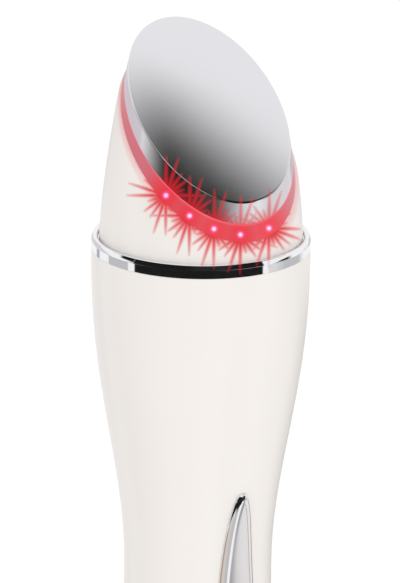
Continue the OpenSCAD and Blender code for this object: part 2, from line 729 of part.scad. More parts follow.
massage_plate();
heater_film();
thermistor();
heater_pad();
plate_gasket();
light_ring();
red_leds();
led_board();
plate_carrier();
plate_screws();
head_shell();
chrome_ring();
neck_seal();
neck_frame();
neck_screws();
motor_can();
motor_end_cap();
motor_boot();
motor_shaft();
eccentric_weight();
handle_sleeve();
inlay_bezel();
inlay_face();
power_button();
switch_plunger();
tact_switch();
control_board();
board_components();
wire_connectors();
chassis();
chassis_screws();
battery_cell();
battery_tabs();
battery_strip();
charge_board();
charging_socket();
socket_tongue();
end_cap();
end_cap_seal();
heater_leads();
led_leads();
motor_leads();
charge_leads();
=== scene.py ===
# Looks of a heated eye massager wand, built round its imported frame.
# +Z runs up the wand and -Y is its front, the side that the plate, the inlay and the button
# face. Sizes are in millimetres until a mesh is made, and azimuths turn from -Y towards +X.
from math import asin, atan, cos, pi, radians, sin, sqrt, tan

import bmesh
import bpy
from mathutils import Matrix, Vector


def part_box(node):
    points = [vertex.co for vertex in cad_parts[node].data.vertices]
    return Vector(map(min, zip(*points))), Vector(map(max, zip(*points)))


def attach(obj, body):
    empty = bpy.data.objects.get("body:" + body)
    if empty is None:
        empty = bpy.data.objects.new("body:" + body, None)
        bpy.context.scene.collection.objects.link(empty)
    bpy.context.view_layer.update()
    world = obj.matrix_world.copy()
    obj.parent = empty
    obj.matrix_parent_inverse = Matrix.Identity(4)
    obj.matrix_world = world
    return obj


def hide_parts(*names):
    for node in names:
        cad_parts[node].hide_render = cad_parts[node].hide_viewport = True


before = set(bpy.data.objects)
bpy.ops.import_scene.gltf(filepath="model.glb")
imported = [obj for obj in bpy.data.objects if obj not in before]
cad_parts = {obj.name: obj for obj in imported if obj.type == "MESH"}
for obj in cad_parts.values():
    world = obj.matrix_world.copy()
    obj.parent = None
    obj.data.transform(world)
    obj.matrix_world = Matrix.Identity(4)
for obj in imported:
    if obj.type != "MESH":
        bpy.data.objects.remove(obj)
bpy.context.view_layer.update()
mm = 0.001


# ---- Viewpoint ----
# The wand is seen from its left and a little above, through a long lens. The picture cuts
# the handle off at its waist, and the wand leans a touch to the right.

picture_height = 583            # pixels
picture_scale = 0.1278          # millimetres of wand per pixel
sightline = 900
seen_from = radians(-32)
seen_above = radians(17.5)
lean = radians(0.6)
aim = Vector((-0.05, 0.03, 107.33))


def heading(azimuth, elevation=0.0):
    return Vector((sin(azimuth) * cos(elevation),
                   -cos(azimuth) * cos(elevation), sin(elevation)))


def added(name, data):
    """A new object in the scene."""
    made = bpy.data.objects.new(name, data)
    bpy.context.scene.collection.objects.link(made)
    return made


def facing_aim(towards, distance):
    """The place of a lens or lamp that stands off from the aim and looks at it."""
    return (Matrix.Translation((aim + towards * distance) * mm)
            @ towards.to_track_quat("Z", "Y").to_matrix().to_4x4())


lens = bpy.data.cameras.new("viewpoint")
lens.sensor_fit = "VERTICAL"
lens.sensor_height = 36
lens.lens = lens.sensor_height * sightline / (picture_height * picture_scale)
lens.clip_start = 0.01
viewpoint = added("viewpoint", lens)
towards_lens = heading(seen_from, seen_above)
viewpoint.matrix_world = facing_aim(towards_lens, sightline) @ Matrix.Rotation(lean, 4, "Z")
bpy.context.scene.camera = viewpoint
bpy.context.scene.view_settings.view_transform = "Standard"


# ---- Studio ----
# A pale floor, an even white room, one large soft lamp beside the lens, and a tent of grey,
# white and black panels that only the polished metal shows.

floor_half, floor_drop = 3000, 0.02
seen_white = 1.08               # strength of the white that the lens, gloss and glass see
room_strength = 0.88
lamp_turn, lamp_above = radians(11), radians(17)      # from the lens, from level
lamp_away, lamp_power = 1000, 2.0
tent_radius, tent_z = 280, 118


def feed(tree, value, socket):
    """Links a socket to another one, or gives it a number, colour or vector."""
    if isinstance(value, bpy.types.NodeSocket):
        tree.links.new(value, socket)
    elif value is not None:
        socket.default_value = value


def wire(tree, node, **values):
    """Feeds a node's inputs by name, with _ for a space."""
    for name, value in values.items():
        feed(tree, value, node.inputs[name.replace("_", " ")])


def add_node(tree, kind, **values):
    node = tree.nodes.new("ShaderNode" + kind)
    wire(tree, node, **values)
    return node


def calc(tree, operation, *values, kind="Math"):
    """One Math or VectorMath node. Its inputs are numbers, vectors or sockets."""
    maths = add_node(tree, kind)
    maths.operation = operation
    for socket, value in zip(maths.inputs, values):
        feed(tree, value, socket)
    return maths.outputs["Value" if kind == "Math" or operation == "DOT_PRODUCT" else "Vector"]


def times(tree, a, b):
    return calc(tree, "MULTIPLY", a, b)


def vector_calc(tree, operation, *values):
    return calc(tree, operation, *values, kind="VectorMath")


def object_place(tree):
    return add_node(tree, "TexCoord").outputs["Object"]


def ramp(tree, value, start, end, low=0.0, high=1.0, smooth=True):
    """low where value is at start and high where it is at end."""
    ease = add_node(tree, "MapRange")
    ease.interpolation_type = "SMOOTHSTEP" if smooth else "LINEAR"
    wire(tree, ease, Value=value, From_Min=start, From_Max=end, To_Min=low, To_Max=high)
    return ease.outputs[0]


def band(tree, value, low, high, soft):
    """1 where value lies between low and high, easing off over soft."""
    return times(tree, ramp(tree, value, low - soft, low + soft),
                 ramp(tree, value, high + soft, high - soft))


def blend_colours(tree, mask, low, high):
    mix = add_node(tree, "Mix")
    mix.data_type = "RGBA"
    feed(tree, mask, mix.inputs["Factor"])
    for socket, colour in ((mix.inputs[6], low), (mix.inputs[7], high)):
        feed(tree, (*colour, 1) if isinstance(colour, tuple) else colour, socket)
    return mix.outputs[2]


def new_finish(name, colour, roughness, metallic=0.0, **levels):
    """A new material, its node tree, and its Principled shader with constants on the sockets."""
    finish = bpy.data.materials.new(name)
    finish.use_nodes = True
    tree = finish.node_tree
    shader = tree.nodes["Principled BSDF"]
    wire(tree, shader, Base_Color=(*colour, 1), Roughness=roughness, Metallic=metallic, **levels)
    return finish, tree, shader


def show_white(tree, shade, white, end):
    """Mixes a shade with plain white light for what the lens, gloss and glass see."""
    path = add_node(tree, "LightPath").outputs
    seen = calc(tree, "MAXIMUM", path["Is Camera Ray"],
                calc(tree, "MAXIMUM", path["Is Glossy Ray"], path["Is Transmission Ray"]))
    mix = add_node(tree, "MixShader", Fac=times(tree, seen, white))
    feed(tree, shade.outputs[0], mix.inputs[1])
    feed(tree, add_node(tree, "Emission", Strength=seen_white).outputs[0], mix.inputs[2])
    wire(tree, tree.nodes[end], Surface=mix.outputs[0])


floor_mesh = bpy.data.meshes.new("floor")
floor_mesh.from_pydata([(x * floor_half * mm, y * floor_half * mm, -floor_drop * mm)
                        for x, y in ((-1, -1), (1, -1), (1, 1), (-1, 1))], [], [(0, 1, 2, 3)])
floor = added("floor", floor_mesh)
paper, paper_tree, paper_board = new_finish("floor_paper", (0.86, 0.86, 0.86), 0.9,
                                            Specular_IOR_Level=0.1)
show_white(paper_tree, paper_board, 0.9, "Material Output")
floor_mesh.materials.append(paper)
floor.visible_glossy = False    # the tent below it shows in the metal
floor.visible_diffuse = False

room = bpy.data.worlds.new("white_room")
room.use_nodes = True
bpy.context.scene.world = room
room_light = room.node_tree.nodes["Background"]
wire(room.node_tree, room_light, Color=(1, 1, 1, 1), Strength=room_strength)
show_white(room.node_tree, room_light, 1.0, "World Output")

soft_lamp = bpy.data.lights.new("soft_lamp", "AREA")
soft_lamp.shape = "DISK"
soft_lamp.size = 0.7
soft_lamp.energy = lamp_power
lamp = added("soft_lamp", soft_lamp)
lamp.matrix_world = facing_aim(heading(seen_from + lamp_turn, lamp_above), lamp_away)

# the tent: a sphere round the head that only reflections see
tent_mesh = bpy.data.meshes.new("tent")
tent_form = bmesh.new()
bmesh.ops.create_uvsphere(tent_form, u_segments=64, v_segments=32, radius=tent_radius * mm)
tent_form.to_mesh(tent_mesh)
tent_form.free()
tent = added("tent", tent_mesh)
tent.location = (0, 0, tent_z * mm)
tent.visible_camera = tent.visible_diffuse = tent.visible_shadow = False
tent.visible_transmission = tent.visible_volume_scatter = False
panels = bpy.data.materials.new("tent_panels")
panels.use_nodes = True
sheet = panels.node_tree
sheet.nodes.remove(sheet.nodes["Principled BSDF"])
from_middle = vector_calc(sheet, "NORMALIZE", object_place(sheet))
x, y, z = add_node(sheet, "SeparateXYZ", Vector=from_middle).outputs
up = times(sheet, calc(sheet, "ARCSINE", z), 180 / pi)
turn = times(sheet, calc(sheet, "ARCTAN2", x, times(sheet, y, -1)), 180 / pi)
black, brown = (0.012, 0.012, 0.012), (0.035, 0.026, 0.024)
grey, white = (0.56, 0.56, 0.57), (0.97, 0.97, 0.98)
# cards, each laid over those before it: lowest and highest elevation and their softness, lowest
# and highest azimuth and their softness, and colour
cards = [
    # before the chrome ring, with the dark fold that shows in the inlay's tip
    (-19, 37, 0.8, -104, 35, 1, black),
    (-23.8, -18.5, 0.5, -52, -18, 3, black),
    # at the ring's two ends
    (-24, -7, 1, -143, -112.5, 1, grey),
    (-24, -8, 3, 42, 60, 2, (0.76, 0.75, 0.75)),
    (-24, -11, 1, 58, 96, 8, grey),
    (-30, -14, 1.5, -171, -163, 1.5, (0.45, 0.45, 0.5)),
    (-7, -3.2, 0.8, -128, -100, 5, black),
    (8, 37, 1.5, -122, -103, 3, black),
    (20, 37, 1.5, -141, -118, 6, (0.08, 0.08, 0.07)),
    (20, 31, 1.5, 34, 73, 4, black),
    (-4, 6, 1, 46, 71, 5, brown),
    # for the plate's rim: greys at its ends, a pale slit in front, and the brown fade across it
    (-12, -4, 1, 50, 108, 10, (0.84, 0.79, 0.8)),
    (-16.2, -8, 1, 110, 166, 6, (0.63, 0.61, 0.66)),
    (-13, -3, 1.5, 166, 200, 4, (0.74, 0.7, 0.75)),
    (-9, 1.5, 1.5, -200, -116, 8, (0.74, 0.67, 0.71)),
    (-2.6, 2.2, 0.6, -118, -28, 3, white),
    (-5.5, 0.8, 0.6, -32, 4, 3, white),
    (-7.5, -2, 0.8, 0, 40, 3, white),
    (-8, 3, 1, -101, 6, 27, brown),
    # over the plate's face
    (30, 65, 5, 12, 61.6, 8.8, (0.012, 0.013, 0.008)),
    # below, for the inlay: beige and grey on its left, a pale gap, greys in front and on its right
    (-70, -19.7, 0.6, -139, -84, 6, (0.44, 0.35, 0.27)),
    (-70, -19.7, 0.6, -84, -57, 5, (0.68, 0.61, 0.55)),
    (-70, -24, 0.6, -57, -25, 3, (0.57, 0.555, 0.545)),
    (-70, -22, 2, -3, 21, 5, (0.34, 0.34, 0.37)),
    (-70, -20, 1.5, 50, 94, 8, (0.87, 0.84, 0.82)),
    (-70, -20, 1.5, 96, 140, 5, (0.36, 0.345, 0.33)),
]
colour = white
for low, high, soft, left, right, side_soft, card in cards:
    mask = times(sheet, band(sheet, up, low, high, soft), band(sheet, turn, left, right, side_soft))
    colour = blend_colours(sheet, mask, colour, card)
wire(sheet, sheet.nodes["Material Output"],
     Surface=add_node(sheet, "Emission", Color=colour).outputs[0])
tent_mesh.materials.append(panels)


# ---- Handle sleeve ----
# One white ABS moulding, open at both ends, that narrows to a waist under the ring. Its front
# has a shallow recess for the inlay, with two stake holes and the button's bore.

ring_z, ring_r = 113.5, 14.0
waist_z, waist_r = 71.0, 9.53
belly_z, belly_r = 34.0, 10.8
tail_r = 9.7
wall = 1.6
cap_z = 5.0                 # seam between the end cap and the sleeve
register_top = 11.5         # straight bore over the end cap's spigot
shelf_z = ring_z - 7.1
flange_z = shelf_z + 1.6
collar_z = flange_z + 1.4
seat_z = ring_z + 1.1
collar_out = ring_r - wall - 1.05
collar_in = collar_out - 1.1
seam, seam_round = 0.15, 0.04   # the edges that meet the end cap: set-back and softening
turns = 192                 # steps round the wand


def swing(t):
    return (1 + cos(pi * t)) / 2


def handle_r(z):
    """Outer radius of the handle at a height."""
    if z > waist_z:
        below_ring = max(ring_z - z, 0) / (ring_z - waist_z)
        return waist_r + (ring_r - waist_r) * swing(below_ring ** 1.2)
    if z > belly_z:
        return waist_r + (belly_r - waist_r) * swing((z - belly_z) / (waist_z - belly_z))
    return tail_r + (belly_r - tail_r) * cos(pi / 2 * (belly_z - z) / belly_z)


register_r = handle_r(cap_z) - wall
upper_bore = handle_r(flange_z) - wall + 0.02


def between(low, high, steps):
    return [low + (high - low) * i / steps for i in range(steps + 1)]


def turned(outline_at, skip=lambda column, row: False):
    """Sweeps round the wand the closed (radius, height) outline that outline_at gives."""
    points, faces = [], []
    for column in range(turns):
        azimuth = 2 * pi * column / turns
        outline = outline_at(azimuth)
        points += [tuple(heading(azimuth) * r + Vector((0, 0, z))) for r, z in outline]
    rows = len(outline)
    for column in range(turns):
        beside = (column + 1) % turns
        for row in range(rows):
            over = (row + 1) % rows
            if not skip(column, row):
                faces.append((column * rows + row, beside * rows + row,
                              beside * rows + over, column * rows + over))
    return points, faces


def tube(loops, closed=True):
    """Joins equal loops of points one after another, and the last to the first."""
    points = [tuple(p) for loop in loops for p in loop]
    size, faces = len(loops[0]), []
    for i in range(len(loops) if closed else len(loops) - 1):
        a, b = i * size, (i + 1) % len(loops) * size
        faces += [(a + k, a + (k + 1) % size, b + (k + 1) % size, b + k) for k in range(size)]
    return points, faces


def prism(loop, along):
    """A closed bar: a loop of points, pushed along a vector."""
    size = len(loop)
    far = [Vector(p) + Vector(along) for p in loop]
    points, faces = tube([loop, far], closed=False)
    return points, faces + [tuple(range(size))[::-1], tuple(range(size, 2 * size))]


def circle(centre, u, v, radius, count=48):
    centre, u, v = Vector(centre), Vector(u), Vector(v)
    return [centre + radius * (u * cos(2 * pi * i / count)
                               + v * sin(2 * pi * i / count)) for i in range(count)]


def piece(name, forms, finish, crease=32):
    """One object from (points, faces) forms in mm, with edges sharp over the crease angle."""
    mesh = bpy.data.meshes.new(name)
    build = bmesh.new()
    for points, faces in forms:
        corners = [build.verts.new(Vector(p) * mm) for p in points]
        for face in faces:
            if len(set(face)) > 2:
                build.faces.new([corners[i] for i in face])
    bmesh.ops.remove_doubles(build, verts=build.verts, dist=1e-7)
    bmesh.ops.dissolve_degenerate(build, edges=build.edges, dist=1e-8)
    bmesh.ops.recalc_face_normals(build, faces=build.faces)
    build.to_mesh(mesh)
    build.free()
    mesh.materials.append(finish)
    made = added(name, mesh)
    crease_edges(made, crease)
    return made


def crease_edges(made, crease=32):
    made.data.shade_smooth()
    made.data.set_sharp_from_angle(angle=radians(crease))


def cut(made, bars, crease=32):
    """Cuts closed bars out of a piece, for good."""
    for bar in bars:
        cutter = piece(f"{made.name}_cutter", [bar], made.data.materials[0])
        away = made.modifiers.new("cut", "BOOLEAN")
        away.operation = "DIFFERENCE"
        away.solver = "EXACT"
        away.object = cutter
        scene_state = bpy.context.evaluated_depsgraph_get()
        solid = bpy.data.meshes.new_from_object(made.evaluated_get(scene_state))
        made.modifiers.clear()
        old, made.data = made.data, solid
        solid.name = made.name
        bpy.data.meshes.remove(old)
        bpy.data.objects.remove(cutter)
    crease_edges(made, crease)


def effect(name, inputs, outputs):
    """A shader node group from numbers and vectors to numbers, and its two end nodes."""
    group = bpy.data.node_groups.new(name, "ShaderNodeTree")
    for socket, value in inputs.items():
        kind = "NodeSocketVector" if isinstance(value, tuple) else "NodeSocketFloat"
        made = group.interface.new_socket(name=socket, in_out="INPUT", socket_type=kind)
        made.default_value = value
    for socket in outputs:
        group.interface.new_socket(name=socket, in_out="OUTPUT", socket_type="NodeSocketFloat")
    return group, group.nodes.new("NodeGroupInput").outputs, group.nodes.new("NodeGroupOutput")


def use(tree, group, **values):
    """Places an effect in a material with its own values, and gives its outputs."""
    made = add_node(tree, "Group")
    made.node_tree = group
    wire(tree, made, **values)
    return made.outputs


def noise(tree, place, scale, detail):
    """Noise over the piece, with scale in cells per metre."""
    return add_node(tree, "TexNoise", Vector=place, Scale=scale, Detail=detail).outputs["Fac"]


def spread_values(tree, mask, low, high):
    """Turns a 0 to 1 mask into values from low to high."""
    return ramp(tree, mask, 0.0, 1.0, low, high, smooth=False)


def bump(tree, height, strength, depth):
    return add_node(tree, "Bump", Height=height, Strength=strength, Distance=depth * mm).outputs[0]


# moulding_skin: Peel is the fine ripple of a moulded surface, Mottle its slow changes
moulding_skin, skin_in, skin_out = effect(
    "moulding_skin", {"Peel Scale": 900.0, "Mottle Scale": 60.0}, ("Peel", "Mottle"))
skin_place = object_place(moulding_skin)
wire(moulding_skin, skin_out, Peel=noise(moulding_skin, skin_place, skin_in["Peel Scale"], 1.5),
     Mottle=noise(moulding_skin, skin_place, skin_in["Mottle Scale"], 3.0))


def moulded(name, low, high, gloss, peel=0.05, peel_scale=900.0, **levels):
    """A moulded plastic: two close colours, a range of roughness, and a ripple."""
    finish, tree, shader = new_finish(name, low, gloss[0], **levels)
    skin = use(tree, moulding_skin, Peel_Scale=peel_scale)
    wire(tree, shader, Base_Color=blend_colours(tree, skin["Mottle"], low, high),
         Roughness=spread_values(tree, skin["Mottle"], *gloss),
         Normal=bump(tree, skin["Peel"], peel, 0.02))
    return finish


# the moulding: warm white, with a faint orange peel and slow changes of gloss
warm_whites, white_gloss = ((0.875, 0.835, 0.8), (0.9, 0.86, 0.825)), (0.24, 0.34)
shell_white = moulded("shell_white", *warm_whites, white_gloss)

# the inlay's outline on the front: a blunt pointed arch that runs down into a round end
inlay_tip_z = 83.2
inlay_len = 36.0            # from the tip to the centre of the round end
inlay_half, half_at = 2.55, 12.1    # half-width, and how far below the tip it is reached
arch_power = 0.382
arch_end = 13.0
inlay_depth = 0.8
button_z = inlay_tip_z - inlay_len
button_bore = 2.85
stakes = (9, 24)            # below the tip
stake_hole = 0.75
half_steps = 92             # steps down each side of the outline


def arch_half(s):
    return inlay_half * (s / half_at) ** arch_power


arch_slope = arch_power * arch_half(arch_end) / arch_end
tangent = atan(arch_slope)
end_r = (arch_half(arch_end) + arch_slope * (inlay_len - arch_end)) * cos(tangent)


def right_side():
    """Points down the outline's right side with their outward normals, closest at the tip."""
    fine = [(arch_half(s), -s) for s in (arch_end * (i / 160) ** 2.4 for i in range(161))]
    foot = [(end_r * cos(a), -inlay_len + end_r * sin(a))
            for a in between(tangent, -pi / 2, 60)]
    start, stop = Vector(fine[-1]), Vector(foot[0])
    fine += [tuple(start.lerp(stop, t)) for t in between(0, 1, 20)[1:-1]] + foot
    lengths = [0.0]
    for a, b in zip(fine, fine[1:]):
        lengths.append(lengths[-1] + (Vector(b) - Vector(a)).length)
    side, at = [], 0
    for k in range(half_steps + 1):
        reach = lengths[-1] * (k / half_steps) ** 1.35
        while at < len(fine) - 2 and lengths[at + 1] < reach:
            at += 1
        t = (reach - lengths[at]) / (lengths[at + 1] - lengths[at])
        along = (Vector(fine[at + 1]) - Vector(fine[at])).normalized()
        side.append((Vector(fine[at]).lerp(Vector(fine[at + 1]), t), Vector((-along.y, along.x))))
    side[0] = (side[0][0], Vector((0, 1)))
    side[-1] = (side[-1][0], Vector((0, -1)))
    return side


outline_side = right_side()


def inlay_loop(inset):
    """The outline drawn in by inset, as (x, height) points down the right side and back up."""
    side = [point + normal * -inset for point, normal in outline_side]
    crossed = max((k for k, p in enumerate(side[:half_steps // 2]) if p.x < 0), default=-1)
    if crossed >= 0:
        a, b = side[crossed], side[crossed + 1]
        tip = a.lerp(b, -a.x / (b.x - a.x))
        side[:crossed + 1] = [Vector((0, tip.y))] * (crossed + 1)
    side[0].x = side[-1].x = 0
    side = [(p.x, inlay_tip_z + p.y) for p in side]
    return side + [(-x, z) for x, z in side[-2:0:-1]]


def on_handle(x, z, lift):
    """The point at x and height z on the front of the handle's surface raised by lift."""
    return (x, -sqrt((handle_r(z) + lift) ** 2 - x * x), z)


def grid(rows):
    """Faces over equal rows of points."""
    size = len(rows[0])
    return [p for row in rows for p in row], [
        (k * size + i, k * size + i + 1, (k + 1) * size + i + 1, (k + 1) * size + i)
        for k in range(len(rows) - 1) for i in range(size - 1)]


def rows_across(loop, count, across=8):
    """Rows of (x, height) points from the right to the left of a loop, from its tip down."""
    rows = []
    for k in range(count):
        (right_x, z), (left_x, _) = loop[k], loop[-k % len(loop)]
        rows.append([(right_x + (left_x - right_x) * i / across, z) for i in range(across + 1)])
    return rows


def filled(loop, lift):
    """Faces across a loop that is the same left and right, laid on the raised handle."""
    return grid([[on_handle(x, z, lift) for x, z in row]
                 for row in rows_across(loop, len(loop) // 2 + 1)])


# outer rows of the sleeve; those from patch_low to patch_high stop at a patch round the recess
patch_low, patch_high, patch_columns = 38.0, 88.0, 15
patch_rows = half_steps - 2 * patch_columns
lower_rows = between(cap_z + seam, patch_low, 42)
middle_rows = between(patch_low, patch_high, patch_rows)
band_low = ring_z - 0.15     # lower edge of the chrome band
upper_rows = between(patch_high, band_low - 0.12, 34)
outer = [(handle_r(cap_z) - seam, cap_z), (handle_r(cap_z) - seam_round, cap_z + seam_round)]
first_row = len(outer) + len(lower_rows) - 1
outer += [(handle_r(z), z) for z in lower_rows + middle_rows[1:] + upper_rows[1:]]
outer += [(ring_r - 0.02, band_low - 0.02), (ring_r - 0.1, band_low)]
bore = [(upper_bore, band_low), (upper_bore, flange_z), (collar_out - 0.3, flange_z),
        (collar_out - 0.3, shelf_z)]
bore += [(handle_r(z) - wall, z) for z in between(shelf_z - 1, waist_z, 16)]
bore += [(handle_r(z) - wall, z) for z in between(waist_z, register_top, 20)[1:]]
bore += [(register_r, register_top), (register_r, cap_z)]
sleeve_outline = outer + bore


def in_patch(column, row):
    beside = min(column, turns - 1 - column)
    return beside < patch_columns and first_row <= row < first_row + patch_rows


# the patch eases from the grid's frame to the outline, in (azimuth, height)
step = 2 * pi / turns
frame_side = [(i * step, patch_high) for i in range(patch_columns)]
frame_side += [(patch_columns * step, z) for z in middle_rows[::-1]]
frame_side += [(i * step, patch_low) for i in range(patch_columns - 1, -1, -1)]
frame_loop = frame_side + [(-a, z) for a, z in frame_side[-2:0:-1]]
recess_loop = inlay_loop(0)
outline_loop = [(asin(x / handle_r(z)), z) for x, z in recess_loop]
patch = []
for t in between(0, 1, 7):
    ease = 1 - (1 - t) ** 1.3
    eased = [Vector(at_frame).lerp(at_outline, ease)
             for at_frame, at_outline in zip(frame_loop, outline_loop)]
    patch.append([heading(a) * handle_r(z) + Vector((0, 0, z)) for a, z in eased])
recess_wall = [[on_handle(x, z, lift) for x, z in recess_loop] for lift in (0, -0.4, -inlay_depth)]
handle_sleeve = piece("handle_sleeve_shell", [
    turned(lambda azimuth: sleeve_outline, in_patch), tube(patch, closed=False),
    tube(recess_wall, closed=False), filled(recess_loop, -inlay_depth)], shell_white)
front, side, upright = Vector((0, -1, 0)), Vector((1, 0, 0)), Vector((0, 0, 1))
drill_from, drill_by = (0, -4), (0, -9, 0)
cut(handle_sleeve, [prism(circle((*drill_from, z), side, upright, r), drill_by) for z, r in
                    [(inlay_tip_z - s, stake_hole) for s in stakes] + [(button_z, button_bore)]])
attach(handle_sleeve, "handle")
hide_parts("handle_sleeve")


# ---- End cap ----
# A white ABS plug, rounded at its foot, that snaps into the sleeve on a bead and is sealed by a
# ring. The charging slot opens through its floor, between guides for the charge board.

base_edge = 2.3
floor_t = 1.8
spigot_top = 9.0
spigot_r = register_r - 0.1
spigot_in = spigot_r - 1.05
slot_w, slot_h = 9.19, 3.41
chassis_holes = ((-5.2, -3), (5.2, -3), (0, 6.1))
groove_low, groove_high, groove_depth = 6.1, 7, 0.65       # the seal's groove
bead_low, bead_high, bead_out = 8.2, 8.95, 0.32            # the snap bead
boss_r, pilot_r = 1.7, 0.82
overlap = 0.02              # of a rib or boss with the floor that it grows from


def pill(width, height, z, steps=16):
    """A flat loop with round ends, lying across the wand."""
    r = height / 2
    right = [Vector(((width - height) / 2 + r * cos(a), r * sin(a), z))
             for a in between(-pi / 2, pi / 2, steps)]
    return right + [Vector((-p.x, -p.y, z)) for p in right]


def boss(x, y, low, high):
    """An upright boss with the pilot hole for a screw."""
    return tube([circle((x, y, z), side, front, r, 24) for z, r in
                 ((low, boss_r), (high, boss_r), (high, pilot_r), (low, pilot_r))])


cap_outline = [(0, 0)]
cap_outline += [(handle_r(0) - base_edge * (1 - sin(a)), base_edge * (1 - cos(a)))
                for a in between(0, pi / 2, 12)]
cap_outline += [(handle_r(z), z) for z in between(base_edge, cap_z - seam, 4)[1:]]
cap_outline += [(handle_r(cap_z) - seam_round, cap_z - seam_round), (handle_r(cap_z) - seam, cap_z)]
cap_outline += [(spigot_r, cap_z), (spigot_r, groove_low), (spigot_r - groove_depth, groove_low),
                (spigot_r - groove_depth, groove_high), (spigot_r, groove_high),
                (spigot_r, bead_low), (spigot_r + bead_out, bead_low + 0.25),
                (spigot_r + bead_out, bead_high - 0.25), (spigot_r, bead_high),
                (spigot_r - 0.1, spigot_top), (spigot_in, spigot_top), (spigot_in, floor_t),
                (0, floor_t)]
guide = [(5.2, 0.68), (7.25, 0.68), (6.5, 3.28), (5.2, 3.28), (5.2, 2.43), (6.05, 2.43),
         (6.05, 1.53), (5.2, 1.53)]
guide_height = 6.6
cap_forms = [turned(lambda azimuth: cap_outline)]
for hand in (-1, 1):
    cap_forms.append(prism([(hand * x, y, floor_t - overlap) for x, y in guide],
                           (0, 0, guide_height)))
cap_forms += [boss(x, y, floor_t - overlap, spigot_top) for x, y in chassis_holes]
end_cap = piece("end_cap_moulding", cap_forms, shell_white)
cut(end_cap, [prism(pill(slot_w, slot_h, -1), (0, 0, floor_t + 2))])
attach(end_cap, "handle")
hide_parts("end_cap")


# ---- Chrome ring ----
# The trim ring between handle and head: brass, polished and chrome plated, pushed into the
# sleeve's bore. Its outer band stands upright below a shallow bevel, and its top rolls over to
# the head's groove.

ring_top = 1.6
head_foot_r = ring_r - 1
groove_r = head_foot_r + 0.1

metal_skin, metal_in, metal_out = effect(
    "metal_skin", {"Stretch": (1, 1, 1), "Line Scale": 3000.0}, ("Lines", "Smear"))
metal_place = object_place(metal_skin)
drawn_out = vector_calc(metal_skin, "MULTIPLY", metal_place, metal_in["Stretch"])
wire(metal_skin, metal_out, Lines=noise(metal_skin, drawn_out, metal_in["Line Scale"], 3.0),
     Smear=noise(metal_skin, metal_place, 140.0, 3.0))


def metal(name, low, high, gloss, stretch=(1, 1, 1), line_scale=3000.0, line_bump=0.02):
    """A metal: two close colours, a smeared range of roughness, and fine polishing lines."""
    finish, tree, shader = new_finish(name, low, gloss[0], 1.0)
    skin = use(tree, metal_skin, Stretch=stretch, Line_Scale=line_scale)
    wire(tree, shader, Base_Color=blend_colours(tree, skin["Lines"], low, high),
         Roughness=spread_values(tree, skin["Smear"], *gloss),
         Normal=bump(tree, skin["Lines"], line_bump, 0.01))
    return finish


chrome = metal("trim_chrome", (0.87, 0.875, 0.895), (0.91, 0.915, 0.93), (0.02, 0.055), (1, 1, 8))
seat_under = ring_z - 1.5
ring_outline = [(collar_out + 0.05, seat_under), (upper_bore - 0.05, seat_under),
                (upper_bore - 0.05, band_low), (ring_r - 0.02, band_low), (ring_r, band_low + 0.02)]
# the upright band, its bevel and its roll, as (how far in from the band, height above the seam)
ring_outline += [(ring_r - drawn_in, ring_z + above) for drawn_in, above in
                 ((0, 0.9), (0, 0.94), (0.009, 0.975), (0.02, 1.01), (0.059, 1.15), (0.119, 1.33),
                  (0.185, 1.49), (0.2, 1.53), (0.235, 1.57), (0.29, 1.592), (0.36, ring_top))]
ring_outline += [(groove_r + out, ring_z + above) for out, above in
                 ((0.34, 1.58), (0.15, 1.48), (0.04, 1.36), (0, 1.22))]
ring_outline += [(groove_r, seat_z), (collar_out + 0.05, seat_z)]
chrome_ring = piece("chrome_ring_trim", [turned(lambda azimuth: ring_outline)], chrome, crease=40)
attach(chrome_ring, "handle")
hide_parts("chrome_ring")


# ---- Head shell ----
# A white ABS moulding like a slanted cup: a collar that plugs into the ring, a tapering skin,
# a bulkhead square to the plate, and a mouth whose edge rolls in to the light ring.

slant = radians(43)
front_rise = 3.32
head_taper, taper_from = 0.0325, 1.2
shell_step = 0.45
head_wall = 1.4
rim_t = 1.9
mouth = rim_t + 1.57            # depth of the mouth below the plate's face, square to it
bulkhead_top, bulkhead_foot = 5.6, 6.8
shoulder = 0.75
boss_at = collar_in - 1.35
posts = ((-5.4, 1), (5.4, 1), (0, -9))
slant_normal = Vector((0, -sin(slant), cos(slant)))
slant_up = Vector((0, cos(slant), sin(slant)))


def head_r(z):
    """Outer radius of the head shell at a height."""
    return head_foot_r - head_taper * max(z - ring_z - taper_from, 0) ** 1.45


front_z = ring_z + front_rise    # of the mouth's lowest point
face_z = front_z + tan(slant) * head_r(front_z) + mouth / cos(slant)


def slant_z(azimuth, radius, depth):
    """Height of the plane at a depth below the plate's face."""
    return face_z - tan(slant) * cos(azimuth) * radius - depth / cos(slant)


def edge_r(azimuth, depth, inset):
    """Radius where that plane meets the plate's side drawn in by inset."""
    r = ring_r - 3
    for _ in range(14):
        r = head_r(slant_z(azimuth, r, depth)) - shell_step - inset
    return r


def on_slant(azimuth, inset, depth):
    r = edge_r(azimuth, depth, inset)
    return (r, slant_z(azimuth, r, depth))


def on_face(x, s, depth):
    """A point in the plane of the plate's face, at x and s in it, depth below it."""
    return Vector((x, 0, face_z)) + slant_up * s - slant_normal * depth


